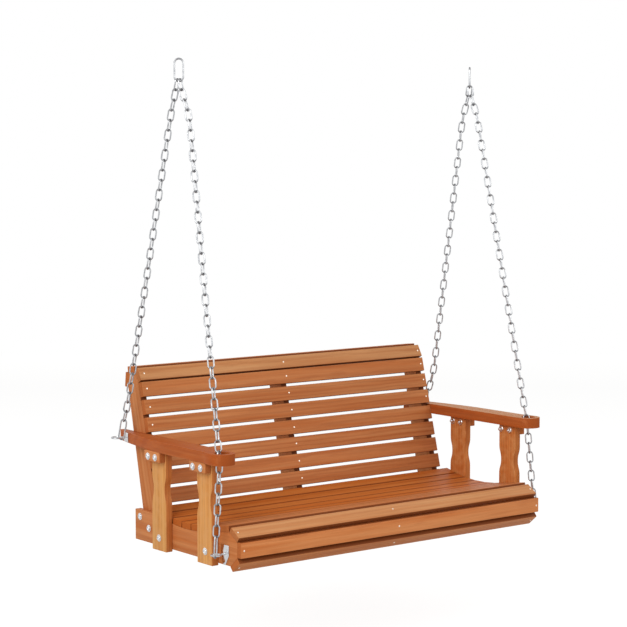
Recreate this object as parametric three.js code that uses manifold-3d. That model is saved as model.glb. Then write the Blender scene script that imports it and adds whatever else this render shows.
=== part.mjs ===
// Porch swing: a slatted bench with a rolled back, hung on four chains from two top links.
// Millimetres, +Z up, +X to the sitter's left hand, front towards -Y.
// The origin lies midway between the two points where the top links bear on their hooks.
import * as THREE from 'three';
import { mergeVertices } from 'three/addons/utils/BufferGeometryUtils.js';
import Module from 'manifold-3d';

const wasm = await Module();
wasm.setup();

// ---- Driving dimensions. The bench is laid out from the front face of its middle front
// slat (y = 0) and from the underside of its side rails (z = 0).
const fit = 0.3; // gap between pieces that touch

const backWidth = 1220; // over the outer faces of the two side stiles
const railThickness = 22;
const stileThickness = 24;
const railLength = 598.5; // front face of the bench to the rear end of a rail
const railRearHeight = 101;

const slatThickness = 20;
const slatWidth = 49; // of every slat but the roll's and the crest
const slatEdge = 2; // rounding along the edges of every slat

const seatSlatCount = 8;
const seatSlatGap = 3.7;
const seatFront = 63.5; // front edge of the first seat slat
const seatFrontSlope = THREE.MathUtils.degToRad(8.4); // the front of the bed is straight
const seatLowHeight = 79; // underside of the lowest seat slat
const seatDishRadius = 650;
const levelSeatSlat = 5; // the slat at the bottom of the dish lies level

const upperFrontAngle = THREE.MathUtils.degToRad(33.6);
const lowerFrontAngle = THREE.MathUtils.degToRad(40);
const middleFrontHeight = 57.25; // centre of the upright front slat
const chinHeight = 31.3; // where the nose of a rail turns under

const backSlatCount = 7; // slats on the straight part of the back
const backSlatPitch = 59.2;
const recline = THREE.MathUtils.degToRad(14.75);
const backFootY = 487.1; // lower front edge of the lowest back slat
const backFootZ = 130;
const rollAngle = THREE.MathUtils.degToRad(29.8); // first slat of the roll, from upright
const rollGap = 5.9;
const rollSlatWidth = 45;
const crestWidth = 40;
const crestTilt = THREE.MathUtils.degToRad(5.5); // the crest falls towards the rear
const crestGap = 2; // behind the rolled slat's upper rear corner
const crestSink = 7; // and below it
const crestSeatDepth = 33; // top of a stile, front to rear
const rearTilt = THREE.MathUtils.degToRad(6); // foot of the rear slat leans out
const rearSlatDrop = 2; // below the stile's upper rear corner
const stileBottom = 5;
const stileFootDepth = 91; // stile front to rear at its foot
const stileNeckLength = 50; // seat of the rear slat on a stile

const armThickness = 35;
const armUnderside = 318.5;
const armWidth = 72;
const armRearWidth = 16.5;
const armRearEnd = 695;
const armTaperStart = 330;
const armTaperKnee = 470;
const paddleRadius = 40; // rounded front end, around the chain hole
const chainHoleRadius = 24;
const chainHoleY = 73.5;
const paddleFlare = 75; // length over which the arm swells into the paddle

const postThickness = 25;
const postWidth = 81;
const postFrontY = 160.2; // centre lines of the two posts
const postRearY = 417.5;
const postDrop = 7; // the posts stand this far below the rails
const waistDepth = 9.5;
const waistLow = 140;
const waistHigh = 245;

const cleatThickness = 22;
const cleatHeight = 33;
const cleatLength = 89;
const cleatSetback = 2.5; // behind the front edge of its post

const centerRailX = 2.5; // the middle rail stands a little off centre, beside its stile

const eyeWire = 5.5;
const eyeRadius = 15.75; // centre line of the eye
const eyeReach = 32.5; // face of the plate to the centre of the eye
const eyeFrontY = 82;
const eyeFrontZ = 36;
const eyeRearZ = 336;
const eyeRearInset = 13; // shank's middle to the rear edge of the stile
const frontShankPast = 12; // shank that shows past the nut side
const rearShankCover = 5; // wood of the stile left over the end of the rear eye's shank
const plateThickness = 3;
const frontPlateWidth = 40;
const frontPlateHeight = 64;
const rearPlateWidth = 36;
const rearPlateHeight = 30;

const chainWire = 5;
const chainWidth = 25;
const chainPitch = 32.5;
const chainBite = 0.3; // links of one run are joined by this much where they bear
const longLinkLength = 74;
const longLinkWidth = 25;
const topLinkLength = 77;
const topLinkWidth = 34;
const topLinkWire = 6;
const topLinkX = 616.4;
const topLinkTurn = THREE.MathUtils.degToRad(45); // top links stand turned, mirrored
const linkOffset = 4.5; // the two chains sit this far each side of the top link's middle
const hangY = 350;
const hangHeight = 1565; // hooks above the underside of the rails
const chainTurnX = 654.5; // where the front chain turns down inside the arm's hole
const chainTurnInset = 16.4; // in from the rear of the hole, which the chain bears on
const chainTurnZ = 325;

const armCurveSteps = 16; // corners along each curve of an arm
const postCurveSteps = 10; // and of a post

const bendSteps = 8; // corners round the ends of a link in the long runs
const wireSides = 4;
const fineBendSteps = 16; // and of the top links, long links and eyes
const fineWireSides = 8;

// ---- Materials.
const cedar = { color: 0xa9613a, roughness: 0.55, metalness: 0 };
const postWood = { color: 0xc08345, roughness: 0.55, metalness: 0 };
const zinc = { color: 0xc6c8ca, roughness: 0.3, metalness: 1 };
const polished = { color: 0xd9dcde, roughness: 0.12, metalness: 1 };

// ---- Helpers.
const swing = new THREE.Group();
const bench = new THREE.Group();
bench.position.set(0, -hangY, -hangHeight);
swing.add(bench);

function addMesh(name, geometry, finish) {
  const mesh = new THREE.Mesh(geometry, new THREE.MeshStandardMaterial(finish));
  mesh.name = name;
  bench.add(mesh);
  return mesh;
}

function solidOf(geometry) {
  const bare = geometry.clone();
  bare.deleteAttribute('normal');
  bare.deleteAttribute('uv');
  const welded = mergeVertices(bare, 1e-4);
  return new wasm.Manifold(new wasm.Mesh({
    numProp: 3,
    vertProperties: new Float32Array(welded.attributes.position.array),
    triVerts: new Uint32Array(welded.index.array),
  }));
}

function geometryOf(solid) {
  const mesh = solid.getMesh();
  const geometry = new THREE.BufferGeometry();
  geometry.setAttribute('position', new THREE.BufferAttribute(mesh.vertProperties, 3));
  geometry.setIndex(new THREE.BufferAttribute(mesh.triVerts, 1));
  geometry.computeVertexNormals();
  return geometry;
}

// The same shape on the other side of the swing.
function mirrored(geometry) {
  const image = mergeVertices(geometry).scale(-1, 1, 1);
  image.index.array.reverse();
  return image;
}

// A side-view outline (shape x is y, shape y is z), cut from a board lying from x = from to x = to.
function cutFromBoard(outline, from, to, curveSegments = 8) {
  const geometry = new THREE.ExtrudeGeometry(outline, {
    depth: to - from,
    bevelEnabled: false,
    curveSegments,
  });
  const turn = new THREE.Matrix4().makeBasis(
    new THREE.Vector3(0, 1, 0),
    new THREE.Vector3(0, 0, 1),
    new THREE.Vector3(1, 0, 0),
  );
  return geometry.applyMatrix4(turn).translate(from, 0, 0);
}

function roundedSection(width, height, radius) {
  const x = width / 2;
  const y = height / 2;
  const shape = new THREE.Shape();
  shape.moveTo(x, -y + radius);
  shape.absarc(x - radius, y - radius, radius, 0, Math.PI / 2, false);
  shape.absarc(-x + radius, y - radius, radius, Math.PI / 2, Math.PI, false);
  shape.absarc(-x + radius, -y + radius, radius, Math.PI, 1.5 * Math.PI, false);
  shape.absarc(x - radius, -y + radius, radius, 1.5 * Math.PI, 2 * Math.PI, false);
  return shape;
}

// A slat along X. The middle of its face lies at (y, z), the face looks along (-sin, cos)
// of the angle, and angle 0 is a slat that lies level with its face up.
function addSlat(name, width, length, y, z, angle) {
  const section = roundedSection(width, slatThickness, slatEdge);
  const geometry = cutFromBoard(section, -length / 2, length / 2, 2);
  const slat = addMesh(name, geometry, cedar);
  const depth = slatThickness / 2;
  slat.position.set(0, y + depth * Math.sin(angle), z - depth * Math.cos(angle));
  slat.rotation.x = angle;
}

function point(y, z) {
  return new THREE.Vector2(y, z);
}

// Where the line through p along u meets the line through q along v.
function meet(p, u, q, v) {
  const along = q.clone().sub(p).cross(v) / u.cross(v);
  return p.clone().addScaledVector(u, along);
}

// ---- Places worked out from the driving dimensions.
const stileOuterX = backWidth / 2;
const railInnerX = stileOuterX + fit;
const railOuterX = railInnerX + railThickness;
const slatSeat = slatThickness + fit;

const seatPitch = slatWidth + seatSlatGap;
const dishY = seatFront + (levelSeatSlat - 1) * seatPitch + slatWidth / 2;
const dishStartY = dishY - seatDishRadius * Math.sin(seatFrontSlope);

// The bed that the seat lies on: a straight slope that runs down into a round dish.
function seatUndersideAt(y) {
  const dishedY = Math.max(y, dishStartY);
  const run = dishedY - dishY;
  const dish = seatDishRadius - Math.sqrt(seatDishRadius ** 2 - run ** 2);
  return seatLowHeight + dish + (dishedY - y) * Math.tan(seatFrontSlope);
}

function seatSlopeAt(y) {
  return y < dishStartY ? -seatFrontSlope : Math.asin((y - dishY) / seatDishRadius);
}

// Nose of the rails: an upper slope, an upright face and a lower slope.
const upperSlope = point(Math.cos(upperFrontAngle), Math.sin(upperFrontAngle));
const lowerSlope = point(Math.cos(lowerFrontAngle), -Math.sin(lowerFrontAngle));
const upright = point(0, 1);
const level = point(1, 0);
const noseTop = point(seatFront, seatUndersideAt(seatFront) - fit / Math.cos(seatFrontSlope));
const noseUpper = meet(noseTop, upperSlope, point(slatSeat, 0), upright);
const noseLower = point(slatSeat, chinHeight);
const noseUnder = meet(noseLower, lowerSlope, point(0, 0), level);

// The back: the line that the slats' front faces lie on, and the stile's front edge behind it.
const backUp = point(Math.sin(recline), Math.cos(recline));
const backIn = point(Math.cos(recline), -Math.sin(recline));
const backFoot = point(backFootY, backFootZ);
const straightLength = (backSlatCount - 1) * backSlatPitch + slatWidth;
const rollUp = point(Math.sin(rollAngle), Math.cos(rollAngle));
const rollIn = point(Math.cos(rollAngle), -Math.sin(rollAngle));
const rollFoot = backFoot.clone().addScaledVector(backUp, straightLength + rollGap);
const stileFront = backFoot.clone().addScaledVector(backIn, slatSeat);
const rollSeat = rollFoot.clone().addScaledVector(rollIn, slatSeat);
const stileBend = meet(stileFront, backUp, rollSeat, rollUp);
const crestAlong = point(Math.cos(crestTilt), -Math.sin(crestTilt));
const crestOut = point(Math.sin(crestTilt), Math.cos(crestTilt));
const rollTopRear = rollSeat.clone().addScaledVector(rollUp, rollSlatWidth);
const crestFrontLow = point(rollTopRear.x + crestGap, rollTopRear.y - crestSink);
const crestSeat = crestFrontLow.clone().addScaledVector(crestOut, -fit);
const stileTopFront = meet(stileBend, rollUp, crestSeat, crestAlong);
const stileTopRear = crestSeat.clone().addScaledVector(crestAlong, crestSeatDepth);
const rearDown = point(Math.sin(rearTilt), -Math.cos(rearTilt));
const rearOut = point(Math.cos(rearTilt), Math.sin(rearTilt));
const stileNeck = stileTopRear.clone().addScaledVector(rearDown, stileNeckLength);
const stileFootFront = meet(stileFront, backUp, point(0, stileBottom), level);
const stileFootRear = point(stileFootFront.x + stileFootDepth, stileBottom);

// Arms, posts and cleats, for the side at +X; the other side mirrors them.
const armInnerX = railInnerX;
const chainHoleX = armInnerX + paddleRadius;
const armTaper = new THREE.QuadraticBezierCurve(
  new THREE.Vector2(armInnerX + armWidth, armTaperStart),
  new THREE.Vector2(armInnerX + armWidth, armTaperKnee),
  new THREE.Vector2(armInnerX + armRearWidth, armRearEnd),
);
const postInnerX = railOuterX + fit;
const postOuterX = postInnerX + postThickness;
const cleatInnerX = postOuterX + fit;
const postTop = armUnderside - fit;

// Top links: where the chains bear inside the lower bend.
const topLinkInside = topLinkWidth / 2 - topLinkWire; // inside radius of a bend
const lowerBendZ = hangHeight - (topLinkLength - 2 * topLinkWire) + topLinkInside;
const wireDrop = Math.sqrt((topLinkInside - chainWire / 2 - 2 * fit) ** 2 - linkOffset ** 2);
const chainStartZ = lowerBendZ - wireDrop - chainWire / 2;

// ---- Timber.
function railOutline() {
  const centreZ = seatLowHeight + seatDishRadius;
  const bedRadius = seatDishRadius + fit;
  const rearRun = Math.sqrt(bedRadius ** 2 - (centreZ - railRearHeight) ** 2);
  const rearAngle = -Math.PI / 2 + Math.asin(rearRun / bedRadius);
  const frontAngle = -Math.PI / 2 - seatFrontSlope;
  const outline = new THREE.Shape();
  outline.moveTo(noseUnder.x, noseUnder.y);
  outline.lineTo(railLength, 0);
  outline.lineTo(railLength, railRearHeight);
  outline.absarc(dishY, centreZ, bedRadius, rearAngle, frontAngle, true);
  outline.lineTo(noseTop.x, noseTop.y);
  outline.lineTo(noseUpper.x, noseUpper.y);
  outline.lineTo(noseLower.x, noseLower.y);
  outline.closePath();
  return outline;
}

function addRails() {
  for (const [name, side] of [['side_rail_left', 1], ['side_rail_right', -1]]) {
    const outline = railOutline();
    outline.holes.push(boltHole(eyeFrontY, eyeFrontZ));
    const from = side > 0 ? railInnerX : -railOuterX;
    addMesh(name, cutFromBoard(outline, from, from + railThickness), cedar);
  }
  const from = centerRailX - railThickness / 2;
  addMesh('center_rail', cutFromBoard(railOutline(), from, from + railThickness), cedar);
}

function boltHole(y, z) {
  const hole = new THREE.Path();
  hole.absarc(y, z, eyeWire / 2 + fit, 0, 2 * Math.PI, true);
  return hole;
}

// How far the bed rises above a slat's own slope at the slat's higher-lying edge.
function bedRiseUnder(y) {
  const edges = [y - slatWidth / 2, y + slatWidth / 2];
  const slope = Math.tan(seatSlopeAt(y));
  return Math.max(...edges.map((e) => seatUndersideAt(e) - seatUndersideAt(y) - slope * (e - y)));
}

function addSeat() {
  for (let i = 0; i < seatSlatCount; i += 1) {
    const y = seatFront + i * seatPitch + slatWidth / 2;
    const slope = seatSlopeAt(y);
    const rise = slatThickness + bedRiseUnder(y);
    addSlat(
      `seat_slat_${i + 1}`,
      slatWidth,
      2 * railOuterX,
      y - rise * Math.sin(slope),
      seatUndersideAt(y) + rise * Math.cos(slope),
      slope,
    );
  }
}

function addFrontSlats() {
  const length = 2 * railOuterX;
  const upper = noseTop.clone().addScaledVector(upperSlope, -slatWidth / 2 - fit);
  upper.add(point(-upperSlope.y, upperSlope.x).multiplyScalar(slatSeat));
  addSlat('front_slat_upper', slatWidth, length, upper.x, upper.y, upperFrontAngle);
  addSlat('front_slat_middle', slatWidth, length, 0, middleFrontHeight, Math.PI / 2);
  const lower = noseLower.clone().addScaledVector(lowerSlope, slatWidth / 2 + fit);
  lower.add(point(lowerSlope.y, -lowerSlope.x).multiplyScalar(slatSeat));
  const lowerTurn = Math.PI - lowerFrontAngle;
  addSlat('front_slat_lower', slatWidth, length, lower.x, lower.y, lowerTurn);
}

function stileOutline() {
  return new THREE.Shape([
    stileFootFront,
    stileFootRear,
    stileNeck,
    stileTopRear,
    stileTopFront,
    stileBend,
  ]);
}

function addStiles() {
  const side = cutFromBoard(stileOutline(), stileOuterX - stileThickness, stileOuterX);
  const drilled = geometryOf(solidOf(side).subtract(solidOf(rearBoltHole())));
  addMesh('back_stile_left', drilled, cedar);
  addMesh('back_stile_right', mirrored(drilled), cedar);
  const from = centerRailX - railThickness / 2 - fit - stileThickness;
  const center = cutFromBoard(stileOutline(), from, from + stileThickness);
  addMesh('back_stile_center', center, cedar);
}

function addBackSlats() {
  const rollFace = rollFoot.clone().addScaledVector(rollUp, rollSlatWidth / 2);
  addSlat('back_slat_1', rollSlatWidth, backWidth, rollFace.x, rollFace.y, Math.PI / 2 - rollAngle);
  for (let i = 0; i < backSlatCount; i += 1) {
    const along = (backSlatCount - 1 - i) * backSlatPitch + slatWidth / 2;
    const face = backFoot.clone().addScaledVector(backUp, along);
    const name = `back_slat_${i + 2}`;
    addSlat(name, slatWidth, backWidth, face.x, face.y, Math.PI / 2 - recline);
  }
  const crest = crestFrontLow.clone().addScaledVector(crestOut, slatThickness);
  crest.addScaledVector(crestAlong, crestWidth / 2);
  addSlat('crest_slat', crestWidth, backWidth, crest.x, crest.y, -crestTilt);
  const rear = stileTopRear.clone().addScaledVector(rearOut, slatSeat);
  rear.addScaledVector(rearDown, rearSlatDrop + slatWidth / 2);
  addSlat('rear_slat', slatWidth, backWidth, rear.x, rear.y, rearTilt - Math.PI / 2);
}

function armOutline() {
  const outerX = armInnerX + armWidth;
  const flareEndY = chainHoleY + paddleFlare;
  const outline = new THREE.Shape();
  outline.moveTo(armTaper.v2.x, armTaper.v2.y);
  outline.lineTo(armInnerX, armRearEnd);
  outline.absarc(chainHoleX, chainHoleY, paddleRadius, Math.PI, 2 * Math.PI, false);
  outline.bezierCurveTo(
    chainHoleX + paddleRadius,
    chainHoleY + paddleFlare / 2,
    outerX,
    flareEndY - paddleFlare / 2,
    outerX,
    flareEndY,
  );
  outline.lineTo(armTaper.v0.x, armTaper.v0.y);
  outline.quadraticCurveTo(armTaper.v1.x, armTaper.v1.y, armTaper.v2.x, armTaper.v2.y);
  const hole = new THREE.Path();
  hole.absarc(chainHoleX, chainHoleY, chainHoleRadius, 0, 2 * Math.PI, true);
  outline.holes.push(hole);
  return outline;
}

function addArms() {
  const board = new THREE.ExtrudeGeometry(armOutline(), {
    depth: armThickness,
    bevelEnabled: false,
    curveSegments: armCurveSteps,
  });
  board.translate(0, 0, armUnderside);
  const arm = geometryOf(solidOf(board).subtract(solidOf(rearBoltHole())));
  addMesh('arm_left', arm, cedar);
  addMesh('arm_right', mirrored(arm), cedar);
}

function postOutline(centreY) {
  const half = postWidth / 2;
  const waistMiddle = (waistLow + waistHigh) / 2;
  const ease = (waistHigh - waistLow) / 4;
  const front = centreY - half;
  const rear = centreY + half;
  const outline = new THREE.Shape();
  outline.moveTo(front, -postDrop);
  outline.lineTo(rear, -postDrop);
  outline.lineTo(rear, waistLow);
  const rearWaist = rear - waistDepth;
  const frontWaist = front + waistDepth;
  const up = waistMiddle - ease;
  const down = waistMiddle + ease;
  outline.bezierCurveTo(rear, waistLow + ease, rearWaist, up, rearWaist, waistMiddle);
  outline.bezierCurveTo(rearWaist, down, rear, waistHigh - ease, rear, waistHigh);
  outline.lineTo(rear, postTop);
  outline.lineTo(front, postTop);
  outline.lineTo(front, waistHigh);
  outline.bezierCurveTo(front, waistHigh - ease, frontWaist, down, frontWaist, waistMiddle);
  outline.bezierCurveTo(frontWaist, up, front, waistLow + ease, front, waistLow);
  outline.closePath();
  return outline;
}

function cleatOutline(centreY) {
  const front = centreY - postWidth / 2 + cleatSetback;
  const bottom = postTop - cleatHeight;
  return new THREE.Shape([
    point(front, bottom),
    point(front + cleatLength, bottom),
    point(front + cleatLength, postTop),
    point(front, postTop),
  ]);
}

function addPosts() {
  for (const [end, centreY] of [['front', postFrontY], ['rear', postRearY]]) {
    for (const [hand, side] of [['left', 1], ['right', -1]]) {
      const postFrom = side > 0 ? postInnerX : -postOuterX;
      const outline = postOutline(centreY);
      const postTo = postFrom + postThickness;
      const post = cutFromBoard(outline, postFrom, postTo, postCurveSteps);
      addMesh(`arm_post_${end}_${hand}`, post, postWood);
      const cleatFrom = side > 0 ? cleatInnerX : -cleatInnerX - cleatThickness;
      const cleat = cutFromBoard(cleatOutline(centreY), cleatFrom, cleatFrom + cleatThickness);
      addMesh(`arm_cleat_${end}_${hand}`, cleat, cedar);
    }
  }
}

// ---- Eye bolts. Each is given by the place on the timber where its plate lies, and by
// the bearing of its shank, for the side at +X.
const eyes = {
  front: {
    face: new THREE.Vector3(railOuterX, eyeFrontY, eyeFrontZ),
    bearing: 0,
    timber: railThickness + fit,
    plateWidth: frontPlateWidth,
    plateHeight: frontPlateHeight,
    plateFoot: fit - eyeFrontZ,
    shankPast: frontShankPast,
    hookBearing: -Math.PI / 4,
  },
  rear: rearEye(),
};

// The rear shank crosses the middle of the stile's thickness at this place, in plan.
function rearShankAim() {
  const rise = (eyeRearZ - stileFootRear.y) / (stileNeck.y - stileFootRear.y);
  const rearEdge = stileFootRear.clone().lerp(stileNeck, rise);
  return new THREE.Vector2(stileOuterX - stileThickness / 2, rearEdge.x - eyeRearInset);
}

// Halves the stretch of the arm's tapered edge until the line square to it meets the aim.
function rearEyeSeat() {
  const aim = rearShankAim();
  let low = 0;
  let high = 1;
  for (let i = 0; i < 40; i += 1) {
    const middle = (low + high) / 2;
    const along = armTaper.getPoint(middle).sub(aim).dot(armTaper.getTangent(middle));
    if (along < 0) {
      low = middle;
    } else {
      high = middle;
    }
  }
  return low;
}

function rearEye() {
  const seat = rearEyeSeat();
  const edge = armTaper.getPoint(seat);
  const run = armTaper.getTangent(seat);
  return {
    face: new THREE.Vector3(edge.x, edge.y, eyeRearZ),
    bearing: Math.atan2(-run.x, run.y),
    timber: (edge.x - stileOuterX + stileThickness) / run.y,
    plateWidth: rearPlateWidth,
    plateHeight: rearPlateHeight,
    plateFoot: -rearPlateHeight / 2,
    shankPast: -rearShankCover,
    hookBearing: -Math.PI * 0.75,
  };
}

function outward(eye, distance) {
  const step = new THREE.Vector3(Math.cos(eye.bearing), Math.sin(eye.bearing), 0);
  return eye.face.clone().addScaledVector(step, distance);
}

function eyeCentre(eye) {
  return outward(eye, fit + plateThickness + eyeReach);
}

function setOnSide(mesh, place, bearing, side) {
  mesh.position.set(side * place.x, place.y, place.z);
  mesh.rotation.z = side > 0 ? bearing : Math.PI - bearing;
}

function rod(radius, from, to, sides) {
  const geometry = new THREE.CylinderGeometry(radius, radius, to - from, sides);
  return geometry.rotateZ(Math.PI / 2).translate((from + to) / 2, 0, 0);
}

function rearBoltHole() {
  const eye = eyes.rear;
  const depth = eye.timber + eye.shankPast + fit;
  const hole = rod(eyeWire / 2 + fit, -depth, plateThickness, 12);
  return hole.rotateZ(eye.bearing).translate(eye.face.x, eye.face.y, eye.face.z);
}

function addEyes() {
  for (const [end, eye] of Object.entries(eyes)) {
    for (const [hand, side] of [['left', 1], ['right', -1]]) {
      const ring = new THREE.TorusGeometry(eyeRadius, eyeWire / 2, fineWireSides, fineBendSteps);
      const shankEnd = eyeReach + plateThickness + fit + eye.timber + eye.shankPast;
      const shank = rod(eyeWire / 2, -shankEnd, -eyeRadius, 12);
      const bolt = geometryOf(solidOf(ring).add(solidOf(shank)));
      const mesh = addMesh(`eye_bolt_${end}_${hand}`, bolt, zinc);
      setOnSide(mesh, eyeCentre(eye), eye.bearing, side);

      const half = eye.plateWidth / 2;
      const plateTop = eye.plateFoot + eye.plateHeight;
      const outline = new THREE.Shape([
        point(-half, eye.plateFoot),
        point(half, eye.plateFoot),
        point(half, plateTop),
        point(-half, plateTop),
      ]);
      outline.holes.push(boltHole(0, 0));
      const plate = addMesh(
        `eye_plate_${end}_${hand}`,
        cutFromBoard(outline, fit, fit + plateThickness),
        polished,
      );
      setOnSide(plate, eye.face, eye.bearing, side);
    }
  }
}

// ---- Chains. A link lies in its own XY plane with its long axis along Y.
function linkGeometry(innerLength, width, wire, steps, sides) {
  const inside = width / 2 - wire;
  const straight = innerLength / 2 - inside * Math.cos(Math.PI / steps);
  const geometry = new THREE.TorusGeometry(inside + wire / 2, wire / 2, sides, steps);
  geometry.rotateZ(Math.PI / steps);
  const place = geometry.attributes.position;
  for (let i = 0; i < place.count; i += 1) {
    place.setY(i, place.getY(i) + Math.sign(place.getY(i)) * straight);
  }
  return geometry;
}

// Turn for a link whose long axis lies along a line and whose face looks as near to a
// given way as it can.
function linkTurn(along, facing) {
  const face = facing.clone().projectOnPlane(along).normalize();
  const across = along.clone().cross(face);
  return new THREE.Matrix4().makeBasis(across, along, face);
}

// Joined links from the inside of the first one's upper bend to the inside of the last
// one's lower bend. Every other link stands a quarter turn round, and their number is odd,
// so that the last one faces as the first one does.
function chainRun(from, to, firstFacing) {
  const line = to.clone().sub(from);
  const length = line.length();
  const along = line.normalize();
  const count = 2 * Math.round((length / chainPitch - 1) / 2) + 1;
  const pitch = (length + chainBite) / count;
  const facings = [firstFacing, along.clone().cross(firstFacing)];
  const link = linkGeometry(pitch - chainBite, chainWidth, chainWire, bendSteps, wireSides);
  const links = [];
  for (let i = 0; i < count; i += 1) {
    const centre = from.clone().addScaledVector(along, (pitch - chainBite) / 2 + i * pitch);
    const placed = link.clone().applyMatrix4(linkTurn(along, facings[i % 2]));
    links.push(solidOf(placed.translate(centre.x, centre.y, centre.z)));
  }
  return { geometry: geometryOf(wasm.Manifold.union(links)), nextFacing: facings[1] };
}

// A long link whose lower bend passes under an eye, and the place inside its upper bend.
function longLink(eye, chainFrom) {
  const hook = new THREE.Vector3(Math.cos(eye.hookBearing), Math.sin(eye.hookBearing), 0);
  const foot = eyeCentre(eye).addScaledVector(hook, eyeRadius);
  foot.z -= eyeWire / 2 + fit;
  const along = chainFrom.clone().sub(foot).normalize();
  const inner = longLinkLength - 2 * chainWire;
  const geometry = linkGeometry(inner, longLinkWidth, chainWire, fineBendSteps, fineWireSides);
  geometry.applyMatrix4(linkTurn(along, hook.clone().cross(new THREE.Vector3(0, 0, 1))));
  const centre = foot.clone().addScaledVector(along, inner / 2);
  geometry.translate(centre.x, centre.y, centre.z);
  return { geometry, top: foot.clone().addScaledVector(along, inner - fit) };
}

function addChains() {
  const across = new THREE.Vector3(Math.cos(topLinkTurn), Math.sin(topLinkTurn), 0);
  const start = new THREE.Vector3(topLinkX, hangY, chainStartZ);
  const frontStart = start.clone().addScaledVector(across, -linkOffset);
  const rearStart = start.clone().addScaledVector(across, linkOffset);
  const turnY = chainHoleY + chainHoleRadius - chainTurnInset;
  const turn = new THREE.Vector3(chainTurnX, turnY, chainTurnZ);
  const lowerStart = turn.clone();
  lowerStart.z += fit;

  const topInner = topLinkLength - 2 * topLinkWire;
  const topLink = linkGeometry(
    topInner, topLinkWidth, topLinkWire, fineBendSteps, fineWireSides,
  );
  const upright3 = new THREE.Vector3(0, 0, 1);
  topLink.applyMatrix4(linkTurn(upright3, across.clone().cross(upright3)));
  topLink.translate(topLinkX, hangY, hangHeight - topInner / 2);

  const frontUpper = chainRun(frontStart, turn, across);
  const frontLong = longLink(eyes.front, lowerStart);
  const frontLower = chainRun(lowerStart, frontLong.top, frontUpper.nextFacing);
  const rearLong = longLink(eyes.rear, rearStart);
  const rearRun = chainRun(rearStart, rearLong.top, across);

  const pieces = {
    top_link: topLink,
    front_chain_upper: frontUpper.geometry,
    front_chain_lower: frontLower.geometry,
    front_long_link: frontLong.geometry,
    rear_chain: rearRun.geometry,
    rear_long_link: rearLong.geometry,
  };
  for (const [name, geometry] of Object.entries(pieces)) {
    addMesh(`${name}_left`, geometry, zinc);
    addMesh(`${name}_right`, mirrored(geometry), zinc);
  }
}

addRails();
addSeat();
addFrontSlats();
addStiles();
addBackSlats();
addArms();
addPosts();
addEyes();
addChains();

export default swing;
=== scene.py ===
"""Porch swing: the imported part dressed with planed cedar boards, ironwork and chains."""
import math
import random

import bpy
from mathutils import Matrix, Vector


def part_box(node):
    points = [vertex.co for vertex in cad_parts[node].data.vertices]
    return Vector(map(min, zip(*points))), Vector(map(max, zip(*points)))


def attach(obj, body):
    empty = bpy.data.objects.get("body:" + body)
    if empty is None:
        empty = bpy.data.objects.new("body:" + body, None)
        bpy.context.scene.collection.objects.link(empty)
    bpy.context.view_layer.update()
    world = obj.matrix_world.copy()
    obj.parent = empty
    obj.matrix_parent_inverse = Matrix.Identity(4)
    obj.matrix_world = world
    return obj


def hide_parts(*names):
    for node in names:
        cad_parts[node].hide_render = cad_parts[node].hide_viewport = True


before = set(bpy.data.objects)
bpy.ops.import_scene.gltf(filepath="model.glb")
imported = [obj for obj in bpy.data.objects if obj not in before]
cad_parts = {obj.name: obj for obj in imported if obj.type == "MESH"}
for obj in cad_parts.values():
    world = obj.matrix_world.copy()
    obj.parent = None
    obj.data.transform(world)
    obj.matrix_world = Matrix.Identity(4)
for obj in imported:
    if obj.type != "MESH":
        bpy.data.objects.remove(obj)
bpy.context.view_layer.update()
chance = random.Random(11)

MM = 0.001
CLOSE = 0.1 * MM  # places nearer than this count as one
BENCH = Vector((0.0, -0.350, -1.565))  # front face of the bench, underside of its side rails
HANDS = ("left", "right")


def on_bench(x, y, z):
    """A place in millimetres across, behind the bench's front face and above its rails."""
    return BENCH + Vector((x, y, z)) * MM


def degrees(*angles):
    return tuple(math.radians(angle) for angle in angles)


# ---- Camera.
VIEW_PLACE = (-4.0689, -5.1506, -0.2626)
VIEW_TURN = degrees(90 - 4.977, 0, -37.752)
VIEW_LENS = 112.17

camera_data = bpy.data.cameras.new("camera")
camera_data.lens = VIEW_LENS
camera_data.clip_end = 100
camera = bpy.data.objects.new("camera", camera_data)
camera.location = VIEW_PLACE
camera.rotation_euler = VIEW_TURN
bpy.context.scene.collection.objects.link(camera)
bpy.context.scene.camera = camera
bpy.context.scene.view_settings.view_transform = "Standard"


# ---- Making shaders.
def put(tree, kind, settings=None, inputs=None):
    """Adds a node, sets its options and its unlinked inputs, and links the rest."""
    node = tree.nodes.new(kind)
    for key, value in (settings or {}).items():
        setattr(node, key, value)
    for key, value in (inputs or {}).items():
        if isinstance(value, bpy.types.NodeSocket):
            tree.links.new(value, node.inputs[key])
        else:
            node.inputs[key].default_value = value
    return node


def blend_colors(tree, amount, first, second, mode="MIX"):
    settings = {"data_type": "RGBA", "blend_type": mode}
    return put(tree, "ShaderNodeMix", settings, {0: amount, 6: first, 7: second}).outputs[2]


def ramp(tree, value, low, high, to_low=0.0, to_high=1.0):
    inputs = {0: value, 1: low, 2: high, 3: to_low, 4: to_high}
    return put(tree, "ShaderNodeMapRange", None, inputs).outputs[0]


def calc(tree, operation, *values):
    """One step of arithmetic on numbers or sockets."""
    settings = {"operation": operation}
    return put(tree, "ShaderNodeMath", settings, dict(enumerate(values))).outputs[0]


def vector_calc(tree, operation, first, second, output):
    settings = {"operation": operation}
    return put(tree, "ShaderNodeVectorMath", settings, {0: first, 1: second}).outputs[output]


def attribute(tree, name):
    return put(tree, "ShaderNodeAttribute", {"attribute_name": name}).outputs["Fac"]


def from_parts(tree, kind, *values):
    """A colour or vector put together from its three parts."""
    return put(tree, kind, None, dict(enumerate(values))).outputs[0]


def mix_shaders(tree, amount, first, second):
    return put(tree, "ShaderNodeMixShader", None, {0: amount, 1: first, 2: second}).outputs[0]


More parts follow.
